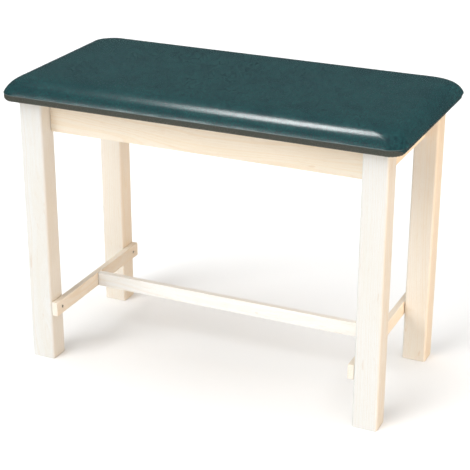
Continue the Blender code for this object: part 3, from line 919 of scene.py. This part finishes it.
def foam_finish():
    finish, tree, shader = new_finish("firm_foam", roughness=0.95, specular=0.2)
    place = add_node(tree, "TexCoord")["Object"]
    bubbles = add_node(tree, "TexVoronoi", {"Vector": place, "Scale": 900.0})["Distance"]
    # the hollow of each cell is darker: painted shade in the pits
    colour = blend_colour(tree, ramp(tree, bubbles, 0.2, 0.7), FOAM_PAINTED_PIT_SHADE, FOAM_CREAM)
    tree.links.new(colour, shader.inputs["Base Color"])
    add_relief(tree, shader, bubbles, 0.8, 0.0006)
    return finish


def under_cover():
    """The cover's points above the ridge, moved in by the vinyl's thickness."""
    mesh = cover.data
    start = len(lower_rows) * len(loop)
    return [vert.co - normal.vector * INSIDE
            for vert, normal in zip(mesh.vertices[start:], mesh.vertex_normals[start:])]


# %% Foam slab
def make_foam():
    count = len(loop)
    inner = under_cover()
    foot = [(*(base - facing * FOAM_SET_IN), FOAM_FOOT) for base, facing in loop]
    rows = [inner[step * count:(step + 1) * count] for step in range(SLOPE_STEPS)]
    lowest = FOAM_FOOT + FOAM_LEAST_RISE
    rows = [foot] + [row for row in rows if min(place.z for place in row) > lowest]
    shape = bmesh.new()
    rings = loft(shape, rows)
    first = len(shape.verts)
    close_ring(shape, rings[-1], lambda place: 0.0)
    shape.verts.ensure_lookup_table()
    for vert, place in zip(shape.verts[first:], inner[SLOPE_STEPS * count:]):
        vert.co = place
    close_ring(shape, rings[0], lambda place: FOAM_FOOT, flip=True)
    return new_piece("foam_slab", smooth_mesh("foam_slab", shape), foam_finish())


foam = make_foam()
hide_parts("foam_pad")
print(len(foam.data.vertices), "points in the foam")

# %% [markdown]
# ## Deck
#
# The deck is plywood, seen only from below between the aprons. Both its edges are eased so that
# the vinyl turns them without tearing, the lower one widely and the upper one a little, and this
# piece is the panel with that easing. Its face veneer was peeled off a turning log, which gives
# broad wandering bands, so the noise that draws them is stretched along the panel and strongly
# bent.

# %% Plywood
PLY_PALE = rgb(0.66, 0.47, 0.28)
PLY_DARK = rgb(0.50, 0.32, 0.17)
PLY_SWAY = 0.16  # metres the bands wander


def plywood_finish():
    finish, tree, shader = new_finish("plywood_face", roughness=0.62)
    place = add_node(tree, "TexCoord")["Object"]
    bent = sway_along(tree, place, (1.1, 4.0, 4.0), PLY_SWAY, detail=3.0)
    bands = noise_at(tree, bent, (0.7, 60.0, 60.0), detail=3.0, roughness=0.6)["Fac"]
    pores = noise_at(tree, bent, (40.0, 900.0, 900.0))["Fac"]
    colour = blend_colour(tree, ramp(tree, bands, 0.35, 0.68), PLY_PALE, PLY_DARK)
    colour = blend_colour(tree, ramp(tree, pores, 0.55, 0.75, 0.0, 0.5), colour, PLY_DARK)
    tree.links.new(colour, shader.inputs["Base Color"])
    add_relief(tree, shader, pores, 0.3, 0.0005)
    return finish


# %% Deck
DECK_EASE = 0.0020  # radius of the deck's upper edge
DECK_EASE_STEPS = 4


def make_deck():
    """The deck's panel, its lower edge rounded to fit inside the cover's wrap."""
    wrap_centre = (-WRAP_RADIUS, COVER_BOTTOM + WRAP_RADIUS)
    edge = arc(wrap_centre, WRAP_RADIUS - INSIDE, -90, 0, WRAP_STEPS)
    ease_centre = (-INSIDE - DECK_EASE, deck_high.z - DECK_EASE)
    edge += arc(ease_centre, DECK_EASE, 0, 90, DECK_EASE_STEPS)
    rows = [[(*(base + facing * out), height) for base, facing in loop] for out, height in edge]
    shape = bmesh.new()
    rings = loft(shape, rows)
    close_ring(shape, rings[-1], lambda place: deck_high.z)
    close_ring(shape, rings[0], lambda place: deck_low.z, flip=True)
    mesh = smooth_mesh("deck_board", shape)
    return new_piece("deck_board", mesh, plywood_finish())


deck = make_deck()
deck.data.set_sharp_from_angle(angle=SMOOTH_ANGLE)
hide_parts("deck_panel")
print("the deck is", [round(size, 4) for size in deck.dimensions], "m")

# %% [markdown]
# ## Staples
#
# Wire staples hold the hem to the deck's underside. A staple gun leaves them about 30 mm apart,
# with their crowns along the hem and never quite straight. Each is a flat wire swept along five
# short runs: a leg, a bend, the crown, a bend and a leg. All of them are one mesh.

# %% Staples
STAPLE_CROWN = 0.0100
STAPLE_WIRE = (0.0012, 0.0006)  # width across the crown, thickness
STAPLE_LEG = 0.0030
STAPLE_PITCH = 0.030
STAPLE_SET_IN = 0.0185  # from the band
STAPLE_JITTER = 0.0012  # how far a staple misses its line
STAPLE_TURN = math.radians(9)  # how far it misses its direction
WIRE_CORNERS = 8
WIRE_FLAT = 0.8  # share of an octagon's reach at which its sides are cut flat
UP = Vector((0.0, 0.0, 1.0))
staple_luck = random.Random(5)


def wire_share(reach):
    """-0.5 to 0.5 across the wire, with the octagon's far sides cut flat."""
    return max(-WIRE_FLAT, min(WIRE_FLAT, reach)) / (2 * WIRE_FLAT)


def staple_rings(middle, along):
    """The rings of one staple: middle is under its crown, and along is the crown's direction."""
    half, bend = STAPLE_CROWN / 2, STAPLE_WIRE[1]
    path = [(-half, STAPLE_LEG, 0.0), (-half, bend, 0.0), (bend - half, 0.0, 90.0),
            (half - bend, 0.0, 90.0), (half, bend, 180.0), (half, STAPLE_LEG, 180.0)]
    across = Vector((-along.y, along.x, 0.0))
    rings = []
    for run, rise, turn in path:
        lean = math.radians(turn)
        inward = along * math.cos(lean) + UP * math.sin(lean)
        ring = []
        for corner in range(WIRE_CORNERS):
            angle = math.tau * (corner + 0.5) / WIRE_CORNERS
            side = wire_share(math.cos(angle)) * STAPLE_WIRE[0]
            depth = (wire_share(math.sin(angle)) + 0.5) * STAPLE_WIRE[1]
            ring.append(middle + along * run + UP * rise + across * side + inward * depth)
        rings.append(ring)
    return rings


# %% [markdown]
# The staples are counted off along the outline: each time another pitch has been walked, one is
# set, a little off its line and turned a little, by a random source with a fixed seed.

# %% Setting the staples
def set_staple(shape, base, facing):
    set_in = STAPLE_SET_IN + staple_luck.uniform(-STAPLE_JITTER, STAPLE_JITTER)
    place = base - facing * set_in
    turn = math.atan2(facing.x, -facing.y) + staple_luck.uniform(-STAPLE_TURN, STAPLE_TURN)
    along = Vector((math.cos(turn), math.sin(turn), 0.0))
    height = COVER_BOTTOM - PLEAT_DEPTH * pleat(facing) - STAPLE_WIRE[1]
    rings = loft(shape, staple_rings(Vector((place.x, place.y, height)), along))
    shape.faces.new(rings[0][::-1])
    shape.faces.new(rings[-1])


def make_staples():
    shape = bmesh.new()
    walked = STAPLE_PITCH / 2
    count = 0
    for (base, facing), (following, _) in zip(loop, loop[1:] + loop[:1]):
        walked += (following - base).length
        if walked >= STAPLE_PITCH:
            walked -= STAPLE_PITCH
            set_staple(shape, base, facing)
            count += 1
    bmesh.ops.recalc_face_normals(shape, faces=shape.faces)
    mesh = bpy.data.meshes.new("hem_staples")
    shape.to_mesh(mesh)
    shape.free()
    new_piece("hem_staples", mesh, ZINC)
    return count


print(make_staples(), "staples")
